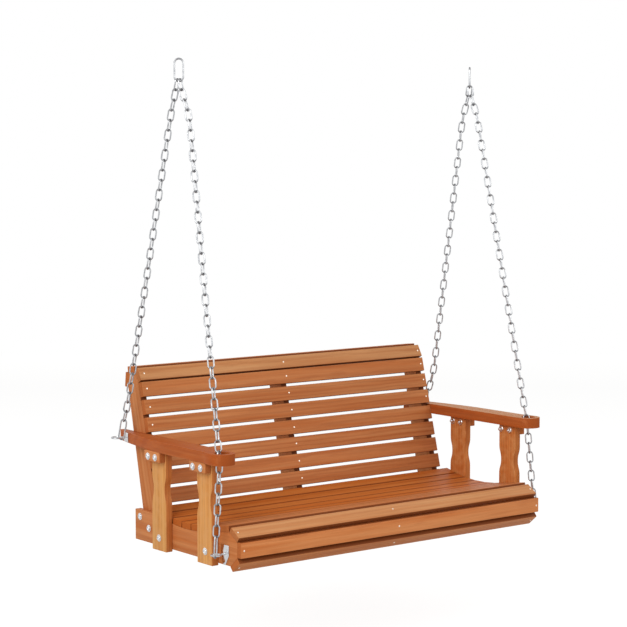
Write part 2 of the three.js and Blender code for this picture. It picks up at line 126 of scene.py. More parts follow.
def stretched(tree, place, scale, shift=(0.0, 0.0, 0.0)):
    inputs = {"Vector": place, "Scale": scale, "Location": shift}
    return put(tree, "ShaderNodeMapping", None, inputs).outputs[0]


def noise(tree, place, scale, detail=2.0):
    inputs = {"Vector": place, "Scale": scale, "Detail": detail}
    return put(tree, "ShaderNodeTexNoise", None, inputs).outputs[0]


def bumps(tree, strength, depth, height):
    """A bumpy surface, its depth in millimetres."""
    inputs = {"Strength": strength, "Distance": depth * MM, "Height": height}
    return put(tree, "ShaderNodeBump", None, inputs).outputs[0]


def new_group(name, inputs, outputs):
    """A node group with its named sockets. Returns it with its input and output nodes."""
    group = bpy.data.node_groups.new(name, "ShaderNodeTree")
    for label, kind, value in inputs:
        socket = group.interface.new_socket(label, in_out="INPUT", socket_type="NodeSocket" + kind)
        if value is not None:
            socket.default_value = value
    for label, kind in outputs:
        group.interface.new_socket(label, in_out="OUTPUT", socket_type="NodeSocket" + kind)
    return group, group.nodes.new("NodeGroupInput"), group.nodes.new("NodeGroupOutput")


def place_group(tree, group, inputs):
    return put(tree, "ShaderNodeGroup", {"node_tree": group}, inputs)


def own_place(group, given, shift):
    """A place on a board, shifted by the board's own number so that no two look alike."""
    ways = [calc(group, "MULTIPLY", given.outputs["Board"], way) for way in shift]
    own = from_parts(group, "ShaderNodeCombineXYZ", *ways)
    return vector_calc(group, "ADD", given.outputs["Place"], own, 0)


def growth_rings(group, place, inputs):
    settings = {"wave_type": "RINGS", "rings_direction": "X"}
    return put(group, "ShaderNodeTexWave", settings, {"Vector": place, **inputs}).outputs["Fac"]


def long_grain_group():
    """Figure of a sawn board. The grain runs along the place's x."""
    group, given, result = new_group(
        "long_grain",
        [("Place", "Vector", None), ("Board", "Float", 0.0)],
        [("Streaks", "Float"), ("Lines", "Float"), ("Fibre", "Float")],
    )
    streak_size, fibre_size, ring_size = (1.8, 60, 60), (9, 620, 620), (0.16, 1.0, 1.0)
    pith = (0.0, 0.031, 0.024)
    place = own_place(group, given, (7.3, 3.1, 1.7))
    broad = noise(group, stretched(group, place, streak_size), 1.0, 3.0)
    rings = growth_rings(group, stretched(group, place, ring_size, pith), {
        "Scale": 26.0, "Distortion": 3.2, "Detail": 2.0, "Detail Scale": 1.6,
    })
    fibre = noise(group, stretched(group, place, fibre_size), 1.0)
    group.links.new(ramp(group, broad, 0.33, 0.67), result.inputs["Streaks"])
    group.links.new(ramp(group, rings, 0.52, 0.95), result.inputs["Lines"])
    group.links.new(fibre, result.inputs["Fibre"])
    return group


def end_grain_group():
    """Growth rings and pores on a sawn end. The grain runs along the place's x."""
    group, given, result = new_group(
        "end_grain",
        [("Place", "Vector", None), ("Board", "Float", 0.0)],
        [("Rings", "Float")],
    )
    place = own_place(group, given, (0.0, 0.05, 0.05))
    rings = growth_rings(group, place, {"Scale": 75.0, "Distortion": 1.2})
    pores = noise(group, place, 900.0, 1.0)
    ring_share = 0.65
    mixed = calc(group, "ADD", calc(group, "MULTIPLY", rings, ring_share),
                 calc(group, "MULTIPLY", pores, 1 - ring_share))
    group.links.new(mixed, result.inputs["Rings"])
    return group


def edge_wear_group():
    """Where the finish is thin on eased edges, broken up along their length."""
    group, given, result = new_group(
        "edge_wear",
        [("Place", "Vector", None), ("Eased", "Float", 0.0)],
        [("Worn", "Float")],
    )
    most = 0.5
    patches = ramp(group, noise(group, given.outputs["Place"], 38.0, 3.0), 0.4, 0.68)
    worn = calc(group, "MULTIPLY", patches, given.outputs["Eased"])
    worn = calc(group, "MULTIPLY", worn, most)
    group.links.new(worn, result.inputs["Worn"])
    return group


def zinc_skin_group():
    """Cloudy spangle and dull patches of zinc plating."""
    group, given, result = new_group(
        "zinc_skin",
        [("Place", "Vector", None)],
        [("Clouds", "Float"), ("Grit", "Float")],
    )
    clouds = ramp(group, noise(group, given.outputs["Place"], 95.0, 3.0), 0.36, 0.66)
    grit = noise(group, given.outputs["Place"], 1100.0)
    group.links.new(clouds, result.inputs["Clouds"])
    group.links.new(grit, result.inputs["Grit"])
    return group


LONG_GRAIN = long_grain_group()
END_GRAIN = end_grain_group()
EDGE_WEAR = edge_wear_group()
ZINC_SKIN = zinc_skin_group()

# In each palette, edge is the colour of painted shade on narrow long edges and in the gaps between
# boards.
CEDAR = {
    "pale": (0.650, 0.252, 0.090, 1),
    "body": (0.550, 0.168, 0.046, 1),
    "deep": (0.300, 0.058, 0.012, 1),
    "end": (0.430, 0.118, 0.030, 1),
    "worn": (0.700, 0.300, 0.110, 1),
    "edge": (0.210, 0.048, 0.010, 1),
}
OILED_CEDAR = {
    "pale": (0.610, 0.192, 0.040, 1),
    "body": (0.540, 0.132, 0.018, 1),
    "deep": (0.300, 0.048, 0.007, 1),
    "end": (0.400, 0.100, 0.022, 1),
    "worn": (0.680, 0.250, 0.080, 1),
    "edge": (0.200, 0.040, 0.007, 1),
}
DARK_CEDAR = {
    "pale": (0.500, 0.134, 0.034, 1),
    "body": (0.445, 0.094, 0.015, 1),
    "deep": (0.250, 0.036, 0.006, 1),
    "end": (0.330, 0.075, 0.018, 1),
    "worn": (0.600, 0.190, 0.060, 1),
    "edge": (0.180, 0.034, 0.006, 1),
}
# Painted sheen: a paler palette standing for the sheen on faces that look up towards the light.
PAINTED_SHEEN_CEDAR = {
    "pale": (0.640, 0.308, 0.130, 1),
    "body": (0.555, 0.220, 0.080, 1),
    "deep": (0.360, 0.085, 0.020, 1),
    "end": (0.430, 0.118, 0.030, 1),
    "worn": (0.740, 0.370, 0.160, 1),
    "edge": (0.240, 0.058, 0.013, 1),
}
POST_WOOD = {
    "pale": (0.640, 0.225, 0.062, 1),
    "body": (0.530, 0.155, 0.034, 1),
    "deep": (0.300, 0.070, 0.014, 1),
    "end": (0.400, 0.125, 0.032, 1),
    "worn": (0.720, 0.360, 0.140, 1),
    "edge": (0.300, 0.070, 0.014, 1),
}
SAPWOOD = {
    "pale": (0.820, 0.420, 0.140, 1),
    "body": (0.690, 0.285, 0.074, 1),
    "deep": (0.420, 0.140, 0.030, 1),
}
# Painted shade where metal parts bear on each other.
CONTACT_SHADE_STEEL = (0.20, 0.20, 0.21, 1)
OIL_SHEEN = 0.12
FIBRE_SPREAD = (0.3, 0.7)  # nearly all of the fibre's values lie between these
FIBRE_SHADES, FIBRE_ROUGH = (0.90, 1.06), (0.42, 0.60)  # brightness and roughness there
TONE_SPREAD, TONE_SHADES = (-1.0, 2.0), (0.72, 1.26)  # of boards, and the brightness there
SAWN_SQUARE, SAWN_ROUGH = (0.6, 0.8), 0.25  # how squarely a sawn end cuts the grain
EDGE_SHADE, GAP_SHADE_REACH = 0.9, (0.78, 0.95)  # painted shade on narrow edges; how far the painted gap shade reaches, from a board's middle, 0, to its edge, 1


def new_material(name):
    material = bpy.data.materials.new(name)
    material.use_nodes = True
    tree = material.node_tree
    return material, tree, tree.nodes["Principled BSDF"]


def timber(name, wood, turn, grain, outside=None, line_depth=0.2, gap_shade_strength=0.0):
    """A planed and oiled board whose grain runs along the given direction. Its faces marked
    outer take the outside palette where one is given: on a post the face on the outside of
    the swing is sawn nearer the bark and has a paler wood; on an arm the upward faces take a
    painted sheen. The last argument is how far the painted shade of its narrow edges spreads
    onto its faces where boards meet, from 0 to 1."""
    material, tree, surface = new_material(name)
    surface.inputs["Specular IOR Level"].default_value = OIL_SHEEN
    held = put(tree, "ShaderNodeTexCoord")
    board = attribute(tree, "board")
    turned = {"Vector": held.outputs["Object"], "Rotation": turn}
    place = put(tree, "ShaderNodeMapping", None, turned).outputs[0]
    figure = place_group(tree, LONG_GRAIN, {"Place": place, "Board": board}).outputs
    rings = place_group(tree, END_GRAIN, {"Place": place, "Board": board}).outputs["Rings"]
    worn = place_group(tree, EDGE_WEAR, {"Place": place, "Eased": attribute(tree, "eased")})

    along = vector_calc(tree, "DOT_PRODUCT", held.outputs["Normal"], grain, "Value")
    sawn = ramp(tree, calc(tree, "ABSOLUTE", along), *SAWN_SQUARE)

    body, pale, deep = wood["body"], wood["pale"], wood["deep"]
    if outside:
        outer = attribute(tree, "outer")
        body = blend_colors(tree, outer, body, outside["body"])
        pale = blend_colors(tree, outer, pale, outside["pale"])
        deep = blend_colors(tree, outer, deep, outside["deep"])
    color = blend_colors(tree, figure["Streaks"], body, pale)
    color = blend_colors(tree, calc(tree, "MULTIPLY", figure["Lines"], line_depth), color, deep)
    fibre = ramp(tree, figure["Fibre"], *FIBRE_SPREAD, *FIBRE_SHADES)
    tone = ramp(tree, board, *TONE_SPREAD, *TONE_SHADES)
    shade = calc(tree, "MULTIPLY", fibre, tone)
    grey = from_parts(tree, "ShaderNodeCombineColor", shade, shade, shade)
    color = blend_colors(tree, 1.0, color, grey, "MULTIPLY")
    color = blend_colors(tree, worn.outputs["Worn"], color, wood["worn"])
    # Painted shade: narrow long edges, and where a strength is given the strip of face beside them
    # where boards meet, darken towards the palette's edge colour.
    edge = attribute(tree, "edge")
    painted_edge_shade = calc(tree, "MULTIPLY", calc(tree, "MULTIPLY", edge, edge), EDGE_SHADE)
    if gap_shade_strength:
        across = calc(tree, "ABSOLUTE", attribute(tree, "across"))
        gap_shade_mask = ramp(tree, across, *GAP_SHADE_REACH, 0.0, gap_shade_strength)
        painted_edge_shade = calc(tree, "MAXIMUM", painted_edge_shade, gap_shade_mask)
    color = blend_colors(tree, painted_edge_shade, color, wood["edge"])
    sawn_color = blend_colors(tree, rings, wood["end"], wood["body"])
    color = blend_colors(tree, sawn, color, sawn_color)
    tree.links.new(color, surface.inputs["Base Color"])

    rough = ramp(tree, figure["Fibre"], *FIBRE_SPREAD, *FIBRE_ROUGH)
    rough = calc(tree, "ADD", rough, calc(tree, "MULTIPLY", sawn, SAWN_ROUGH))
    tree.links.new(rough, surface.inputs["Roughness"])
    relief = calc(tree, "ADD", figure["Fibre"], calc(tree, "MULTIPLY", figure["Lines"], 0.8))
    tree.links.new(bumps(tree, 0.22, 0.6, relief), surface.inputs["Normal"])
    return material


def plated(name, bright, dull, smooth, rough):
    """Zinc-plated or polished steel. It takes painted shade where it bears on its neighbour."""
    material, tree, surface = new_material(name)
    place = put(tree, "ShaderNodeTexCoord").outputs["Object"]
    skin = place_group(tree, ZINC_SKIN, {"Place": place}).outputs
    color = blend_colors(tree, skin["Clouds"], bright, dull)
    # Painted shade where the part bears on its neighbour.
    color = blend_colors(tree, attribute(tree, "contact_shade"), color, CONTACT_SHADE_STEEL)
    tree.links.new(color, surface.inputs["Base Color"])
    surface.inputs["Metallic"].default_value = 1.0
    shine = ramp(tree, skin["Clouds"], 0.0, 1.0, smooth, rough)
    tree.links.new(shine, surface.inputs["Roughness"])
    tree.links.new(bumps(tree, 0.12, 0.3, skin["Grit"]), surface.inputs["Normal"])
    return material


RECLINE = 14.75  # of the back from upright
SIDEWAYS = (1, 0, 0)
FRONT_TO_BACK = (0, 1, 0)
UP_THE_BACK = (0, math.sin(math.radians(RECLINE)), math.cos(math.radians(RECLINE)))
CEDAR_ACROSS = timber("cedar_across", CEDAR, (0, 0, 0), SIDEWAYS)
SEAT_ACROSS = timber("seat_cedar_across", CEDAR, (0, 0, 0), SIDEWAYS, gap_shade_strength=0.5)
OILED_ACROSS = timber("oiled_cedar_across", OILED_CEDAR, (0, 0, 0), SIDEWAYS, gap_shade_strength=0.75)
# Painted sheen on boards that look up, and on an arm's upward faces.
PAINTED_SHEEN_ACROSS = timber("painted_sheen_cedar_across", PAINTED_SHEEN_CEDAR, (0, 0, 0), SIDEWAYS)
CEDAR_DEEP = timber("cedar_front_to_back", CEDAR, degrees(0, 0, -90), FRONT_TO_BACK)
DARK_DEEP = timber("dark_cedar_front_to_back", DARK_CEDAR, degrees(0, 0, -90), FRONT_TO_BACK)
PAINTED_SHEEN_TOP = timber("painted_sheen_top", DARK_CEDAR, degrees(0, 0, -90), FRONT_TO_BACK, PAINTED_SHEEN_CEDAR)
CEDAR_UP = timber("cedar_up_the_back", CEDAR, degrees(RECLINE, 90, 0), UP_THE_BACK, None, 0.07)
POST_UP = timber("post_wood_upright", POST_WOOD, degrees(0, 90, 0), (0, 0, 1), SAPWOOD, 0.26)
ZINC = plated("bright_zinc", (0.90, 0.91, 0.92, 1), (0.74, 0.75, 0.77, 1), 0.14, 0.30)
NAIL_STEEL = plated("nail_steel", (0.98, 0.87, 0.74, 1), (0.90, 0.79, 0.66, 1), 0.30, 0.45)
CHAIN_ZINC = plated("chain_zinc", (0.68, 0.69, 0.70, 1), (0.46, 0.47, 0.49, 1), 0.32, 0.48)
STEEL = plated("polished_steel", (0.86, 0.87, 0.88, 1), (0.72, 0.74, 0.76, 1), 0.08, 0.2)


# ---- Modelling.
def only(*pieces):
    bpy.ops.object.select_all(action="DESELECT")
    for piece in pieces:
        piece.select_set(True)
    bpy.context.view_layer.objects.active = pieces[0]


def edit(piece, part, test):
    """Opens a piece for editing with only the points or faces that pass the test selected."""
    only(piece)
    mesh = piece.data
    for elements in (mesh.vertices, mesh.edges, mesh.polygons):
        elements.foreach_set("select", [False] * len(elements))
    if part == "FACE":
        for face in mesh.polygons:
            face.select = test(face.center, face.normal)
    else:
        for vertex in mesh.vertices:
            vertex.select = test(vertex.co)
    bpy.context.tool_settings.mesh_select_mode = (part == "VERT", False, part == "FACE")
    bpy.ops.object.mode_set(mode="EDIT")


def done():
    bpy.ops.object.mode_set(mode="OBJECT")


def added(name):
    piece = bpy.context.object
    piece.name = name
    return piece


def settle(piece, place=None):
    """Moves a piece to its place and leaves the place in its mesh."""
    only(piece)
    if place is not None:
        piece.matrix_world = place @ piece.matrix_world
    bpy.ops.object.transform_apply(location=True, rotation=True, scale=True)
    return piece


def join(name, pieces):
    only(*pieces)
    bpy.ops.object.join()
    return added(name)


def mark(piece, name, domain, values):
    """Keeps a value for each point or face of a piece, for its material to read."""
    piece.data.attributes.new(name, "FLOAT", domain).data.foreach_set("value", values)


def copy_of(piece, name):
    twin = piece.copy()
    twin.data = piece.data.copy()
    twin.name = name
    bpy.context.scene.collection.objects.link(twin)
    return twin


def mirror_copy(piece, name):
    """The same piece on the other hand."""
    twin = copy_of(piece, name)
    settle(twin, Matrix.Scale(-1, 4, Vector((1, 0, 0))))
    edit(twin, "FACE", lambda centre, normal: True)
    bpy.ops.mesh.normals_make_consistent(inside=False)
    done()
    return twin


NAIL_SMOOTH, BOLT_SMOOTH, WIRE_SMOOTH = 50, 40, 80


def smooth(piece, angle=35):
    """Shades a piece smooth across edges that turn by less than the angle, in degrees."""
    only(piece)
    bpy.ops.object.shade_smooth_by_angle(angle=math.radians(angle))


def finish(piece, material, body="bench", nodes=()):
    """Gives a piece its finish and says what it moves with and stands for."""
    piece.data.materials.clear()
    piece.data.materials.append(material)
    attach(piece, body)
    if nodes:
        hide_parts(*nodes)
    return piece


def finish_both(piece, name, material, node=None, body="bench"):
    """Finishes a piece of metal on the left and its mirror image on the right."""
    twin = mirror_copy(piece, name + "_right")
    for made, hand in ((piece, "left"), (twin, "right")):
        nodes = [f"{node}_{hand}"] if node else []
        finish(made, material, body, nodes)


def cylinder(name, vertices, radius, length, **settings):
    """A cylinder round the origin, standing along z where nothing else is set."""
    bpy.ops.object.select_all(action="DESELECT")
    bpy.ops.mesh.primitive_cylinder_add(
        vertices=vertices, radius=radius * MM, depth=length * MM, **settings,
    )
    return added(name)


def inset(*steps):
    """Insets the selected faces step by step. Each step gives its width and its rise."""
    for width, rise in steps:
        bpy.ops.mesh.inset(thickness=width * MM, depth=rise * MM)


SAME_POINT = 0.02 * MM
FLAT, SHARP = 0.5, 40  # degrees between faces that are merged, and at edges that are eased


def cut_from(node, name):
    """A copy of a solid as a new piece, its flat faces merged, left open for editing."""
    piece = bpy.data.objects.new(name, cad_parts[node].data.copy())
    bpy.context.scene.collection.objects.link(piece)
    only(piece)
    bpy.ops.mesh.customdata_custom_splitnormals_clear()
    edit(piece, "FACE", lambda centre, normal: True)
    bpy.ops.mesh.remove_doubles(threshold=SAME_POINT)
    bpy.ops.mesh.dissolve_limited(angle_limit=math.radians(FLAT))
    return piece


def ease_edges(width, clamped):
    """Rounds every sharp edge of the piece that is open for editing, and closes it."""
    bpy.ops.mesh.select_all(action="DESELECT")
    bpy.context.tool_settings.mesh_select_mode = (False, True, False)
    bpy.ops.mesh.edges_select_sharp(sharpness=math.radians(SHARP))
    bpy.ops.mesh.bevel(offset=width * MM, segments=3, profile=0.5, clamp_overlap=clamped)
    done()


# ---- Boards.
def turned_from_broad(face, broad, grain):
    """0 on a board's broad faces and sawn ends, and 1 on its narrow long edges."""
    if abs(face.normal.dot(Vector(grain))) > 0.5:
        return 0.0
    return 1 - face.normal.dot(broad) ** 2


def outward(face):
    """How far a face looks to the outside of the swing."""
    return max(0.0, face.normal.x * math.copysign(1, face.center.x))


def upward(face):
    return max(0.0, face.normal.z)


def planed(node, name, ease, material, grain=None, paler=outward):
    """A board cut to its solid's outline, with every sharp edge eased. Where its grain is
    given, its narrow long edges take painted shade, darker than its faces. Its tone is drawn
    by chance from 0, dark, to 1, pale, where TONES has none for it."""
    piece = cut_from(node, name)
    ease_edges(ease, clamped=True)
    mark(piece, "eased", "FACE", [1.0 if face.select else 0.0 for face in piece.data.polygons])
    tone = TONES.get(node, chance.random())
    mark(piece, "board", "POINT", [tone] * len(piece.data.vertices))
    mark(piece, "outer", "FACE", [paler(face) for face in piece.data.polygons])
    # Marks the narrow long edges, and each point's place across the board, for painted shade.
    if grain:
        broad = max(piece.data.polygons, key=lambda face: face.area).normal.copy()
        edge = [turned_from_broad(face, broad, grain) for face in piece.data.polygons]
        mark(piece, "edge", "FACE", edge)
        reach = [point.co.dot(broad.cross(Vector(grain))) for point in piece.data.vertices]
        middle, half = (max(reach) + min(reach)) / 2, (max(reach) - min(reach)) / 2
        mark(piece, "across", "POINT", [(place - middle) / half for place in reach])
    smooth(piece)
    return finish(piece, material, "bench", [node])


# The three front seat boards take the paler cedar palette as painted sheen, and weaker painted gap
# shade than the rest.
SLATS = {f"seat_slat_{i}": SEAT_ACROSS if i < 4 else OILED_ACROSS for i in range(1, 9)}
SLATS.update({f"back_slat_{i}": CEDAR_ACROSS for i in range(2, 9)})
# The first back board and the upper front board, which lean up towards the light, take painted
# sheen.
SLATS.update({
    "back_slat_1": PAINTED_SHEEN_ACROSS,
    "front_slat_upper": PAINTED_SHEEN_ACROSS,
    "front_slat_middle": CEDAR_ACROSS,
    "front_slat_lower": CEDAR_ACROSS,
    "crest_slat": CEDAR_ACROSS,
    "rear_slat": CEDAR_ACROSS,
})
TONES = {
    "seat_slat_1": 1.1, "seat_slat_4": 0.95, "seat_slat_5": 0.9, "seat_slat_8": 0.1,
    "back_slat_1": 0.5, "back_slat_2": 0.25, "back_slat_3": -0.05, "back_slat_5": 0.2,
    "back_slat_7": 0.35, "back_slat_8": 0.0, "front_slat_middle": 1.25, "front_slat_lower": 0.45,
    "arm_left": 0.5, "arm_right": 0.5,
}
# How far the edges of each kind of board are eased, in millimetres.
EASE = {"slat": 0.9, "rail": 1.0, "stile": 1.2, "arm": 4.0, "post": 2.0, "cleat": 2.0}
for node, material in SLATS.items():
    name = node.replace("slat", "board")
    planed(node, name, EASE["slat"], material, SIDEWAYS)
for node in ("side_rail_left", "side_rail_right", "center_rail"):
    planed(node, node.replace("rail", "runner"), EASE["rail"], CEDAR_DEEP)
for place in ("left", "right", "center"):
    planed(f"back_stile_{place}", f"back_upright_{place}", EASE["stile"], CEDAR_UP,
           UP_THE_BACK)
# The left arm's upward faces take the paler palette as painted sheen over dark cedar.
planed("arm_left", "arm_board_left", EASE["arm"], PAINTED_SHEEN_TOP, paler=upward)
planed("arm_right", "arm_board_right", EASE["arm"], DARK_DEEP)
for hand in HANDS:
    for end in ("front", "rear"):
        place = f"{end}_{hand}"
        planed(f"arm_post_{place}", f"post_board_{place}", EASE["post"], POST_UP)
        planed(f"arm_cleat_{place}", f"cleat_block_{place}", EASE["cleat"], CEDAR_DEEP)


# ---- Nails.
NAIL_RADIUS, NAIL_THICK = 2.9, 1.2
NAIL_DOME = (0.8, 0.35), (1.0, 0.15)  # how far in and how far up each ring of the dome lies


def nail_head():
    """A flat round head, lightly domed, standing along z."""
    head = cylinder("nail_head", 14, NAIL_RADIUS, NAIL_THICK)
    edit(head, "FACE", lambda centre, normal: normal.z > 0.9)
    for inwards, upwards in NAIL_DOME:
        bpy.ops.mesh.inset(thickness=inwards * MM)
        bpy.ops.transform.translate(value=(0, 0, upwards * MM))
    done()
    return head


NAIL = nail_head()


def nails(name, rows):
    """Nail heads on the faces of boards: each row gives y, z, the way the face looks and
    the places of its nails across the swing."""
    heads = []
    for y, z, tilt, across in rows:
        for x in across:
            head = copy_of(NAIL, "head")
            spot = Matrix.Translation(on_bench(x, y, z))
            turn = Matrix.Rotation(math.radians(tilt), 4, "X")
            aside, astray = chance.uniform(-1, 1), chance.uniform(-1.5, 1.5)
            miss = Matrix.Translation((aside * MM, astray * MM, 0))
            heads.append(settle(head, spot @ turn @ miss))
    piece = join(name, heads)
    smooth(piece, NAIL_SMOOTH)
    return finish(piece, NAIL_STEEL)


SLAT_HALF = 10  # half of a slat's thickness


def face_row(node, tilt, across):
    """A row of nails on the outer face of a slat that leans by tilt from level."""
    low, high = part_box(node)
    middle = ((low + high) / 2 - BENCH) / MM
    turn = math.radians(tilt)
    y, z = middle.y - SLAT_HALF * math.sin(turn), middle.z + SLAT_HALF * math.cos(turn)
    return y, z, tilt, across


BACK_TILT, ROLL_TILT, REAR_TILT = 90 - RECLINE, 90 - 29.8, -84
UPPER_TILT, MIDDLE_TILT, LOWER_TILT = 33.6, 90, 140
ALL_STILES, TWO_STILES = (-592, -18, 598), (-592, -20)
ALL_RAILS = (-621.3, 2.5, 621.3)
back_rows = [face_row("back_slat_1", ROLL_TILT, ALL_STILES)]
for i in range(2, 9):
    back_rows.append(face_row(f"back_slat_{i}", BACK_TILT, ALL_STILES if i < 5 else TWO_STILES))
nails("nails_back_boards", back_rows)
nails("nails_front_boards", [
    face_row("front_slat_upper", UPPER_TILT, ALL_RAILS),
    face_row("front_slat_middle", MIDDLE_TILT, ALL_RAILS),
    face_row("front_slat_lower", LOWER_TILT, ALL_RAILS),
])
nails("nails_rear_board", [face_row("rear_slat", REAR_TILT, ALL_STILES)])
bpy.data.objects.remove(NAIL)


# ---- Bolts, nuts and washers. Each is made along x with its head or outer face at +x.
UPRIGHT_TO_X = Matrix.Rotation(math.radians(90), 4, "Y")
ROUND = 28  # sides of washers and round heads


def washer(name, outer, inner, thick):
    """A flat washer, its sizes across given from its middle, with eased rims."""
    piece = cylinder(name, ROUND, outer, thick)
    edit(piece, "FACE", lambda centre, normal: abs(normal.z) > 0.9)
    rim, rise = 0.35, 0.25
    inset((rim, rise), (outer - inner - rim, 0))
    bpy.ops.mesh.bridge_edge_loops()
    done()
    return settle(piece, UPRIGHT_TO_X)


def nut(name, width, thick):
    """A six-sided nut with chamfered faces and a shallow lead to its thread."""
    piece = cylinder(name, 6, width / math.sqrt(3), thick)
    edit(piece, "FACE", lambda centre, normal: abs(normal.z) > 0.9)
    inset((0.9, 0.5), (1.4, 0), (0.4, -0.5))
    done()
    return settle(piece, UPRIGHT_TO_X)


def thread(name, radius, length):
    """The threaded end of a bolt: turned ridges along x, starting at the nut."""
    pitch, depth = 1.0, 0.45
    piece = cylinder(name, 12, radius, pitch, end_fill_type="NOTHING")
    edit(piece, "FACE", lambda centre, normal: True)
    bpy.ops.mesh.subdivide(number_cuts=1)
    done()
    core = (radius - depth) / radius
    edit(piece, "VERT", lambda co: abs(abs(co.z) - pitch * MM / 2) < CLOSE)
    bpy.ops.transform.resize(value=(core, core, 1))
    done()
    settle(piece, Matrix.Translation((0, 0, -pitch * MM / 2)))
    ridges = piece.modifiers.new("ridges", "ARRAY")
    ridges.use_relative_offset = False
    ridges.use_constant_offset = True
    ridges.constant_offset_displace = (0, 0, -pitch * MM)
    ridges.count = max(2, round(length / pitch))
    ridges.use_merge_vertices = True
    ridges.merge_threshold = CLOSE
    only(piece)
    bpy.ops.object.modifier_apply(modifier="ridges")
    edit(piece, "FACE", lambda centre, normal: True)
    bpy.ops.mesh.select_all(action="DESELECT")
    bpy.context.tool_settings.mesh_select_mode = (False, True, False)
    bpy.ops.mesh.select_non_manifold(extend=False)
    bpy.ops.mesh.edge_face_add()
    done()
    return settle(piece, UPRIGHT_TO_X)


def round_head(name, radius, height):
    """A low round head with a socket sunk in its crown, with painted shade where it meets its
    washer.
    """
    piece = cylinder(name, ROUND, radius, height)
    edit(piece, "FACE", lambda centre, normal: normal.z > 0.9)
    bpy.ops.mesh.bevel(offset=height * 0.62 * MM, segments=4, profile=0.5)
    done()
    edit(piece, "FACE", lambda centre, normal: normal.z > 0.99 and centre.z > 0)
    inset((radius * 0.22, 0.25), (radius * 0.12, -0.25), (0.2, -1.5))
    done()
    low = -height / 2 * MM
    # Painted shade at the head's foot, against its washer.
    foot = [1.0 if vertex.co.z < low + CLOSE else 0.0 for vertex in piece.data.vertices]
    mark(piece, "contact_shade", "POINT", foot)
    settle(piece, Matrix.Translation((0, 0, height * MM / 2)))
    return settle(piece, UPRIGHT_TO_X)


THREAD_RADIUS = 3.9
WASHER = washer("washer", outer=11.5, inner=4.2, thick=1.6)
HEAD = round_head("head", radius=8.6, height=3.8)
NUT = nut("nut", width=12.5, thick=6.0)
END = thread("end", THREAD_RADIUS, length=5.0)
# How far the washer's middle, the head's foot, the nut's middle and the thread's start
# stand off the timber.
WASHER_OFF, HEAD_OFF, NUT_OFF, END_OFF = 0.9, 1.7, 4.8, 7.5


def through_bolt(name, outside, inside, y, z):
    """Head and washer on the outer face of the timbers, washer, nut and thread on the inner."""
    parts = []
    for made, x in (
        (WASHER, outside + WASHER_OFF), (HEAD, outside + HEAD_OFF),
        (WASHER, inside - WASHER_OFF), (NUT, inside - NUT_OFF), (END, inside - END_OFF),
    ):
        part = copy_of(made, "part")
        turn = Matrix.Rotation(chance.uniform(0, math.pi), 4, "X")
        parts.append(settle(part, Matrix.Translation(on_bench(x, y, z)) @ turn))
    piece = join(name + "_left", parts)
    smooth(piece, BOLT_SMOOTH)
    finish_both(piece, name, ZINC)


RAIL_INNER, RAIL_OUTER = 610.3, 632.3
POST_INNER, POST_OUTER = 632.6, 657.6
CLEAT_OUTER, STILE_INNER = 679.9, 586.0
POST_BOLT_Z, CLEAT_BOLT_Z = 34.6, 300
BOLTS = {
    "bolt_stile_upper": (RAIL_OUTER, STILE_INNER, 568.5, 79),
    "bolt_stile_lower": (RAIL_OUTER, STILE_INNER, 516, 47.5),
    "bolt_post_front": (POST_OUTER, RAIL_INNER, 155.5, POST_BOLT_Z),
    "bolt_post_rear": (POST_OUTER, RAIL_INNER, 416.7, POST_BOLT_Z),
    "bolt_cleat_front_1": (CLEAT_OUTER, POST_INNER, 147.5, CLEAT_BOLT_Z),
    "bolt_cleat_front_2": (CLEAT_OUTER, POST_INNER, 190, CLEAT_BOLT_Z),
    "bolt_cleat_rear_1": (CLEAT_OUTER, POST_INNER, 404, CLEAT_BOLT_Z),
    "bolt_cleat_rear_2": (CLEAT_OUTER, POST_INNER, 445, CLEAT_BOLT_Z),
}
for name, place in BOLTS.items():
    through_bolt(name, *place)


# ---- Eye bolts and their plates.
EYES = {
    "front": {
        "centre": (668.1, 82, 36), "bearing": 0.0, "timber": 22.3, "nut": True,
    },
    "rear": {
        "centre": (676.118, 641.795, 336), "bearing": 12.6313, "timber": 51.554, "nut": False,
    },
}
EYE_RADIUS, EYE_WIRE = 15.75, 5.5
EYE_REACH, PLATE_THICK = 32.5, 3.3  # from the eye's centre to its plate, and on to the timber
EYE_THREAD_OFF = 6.8
PLATE_EASE = 0.8
NARROWS = 31  # the height at which the front plate starts to narrow to its foot
FOOT_TOP, FOOT_FRONT, FOOT_REAR = 8, 81, 92


def nut_end(inside):
    """The threaded end of an eye's shank, with its washer and nut."""
    slim = EYE_WIRE / (2 * THREAD_RADIUS)
    parts = []
    for made, off, size in (
        (END, EYE_THREAD_OFF, slim), (WASHER, WASHER_OFF, 1), (NUT, NUT_OFF, 1),
    ):
        place = Matrix.Translation(((inside - off) * MM, 0, 0))
        parts.append(settle(copy_of(made, "part"), place @ Matrix.Diagonal((1, size, size, 1))))
    return parts


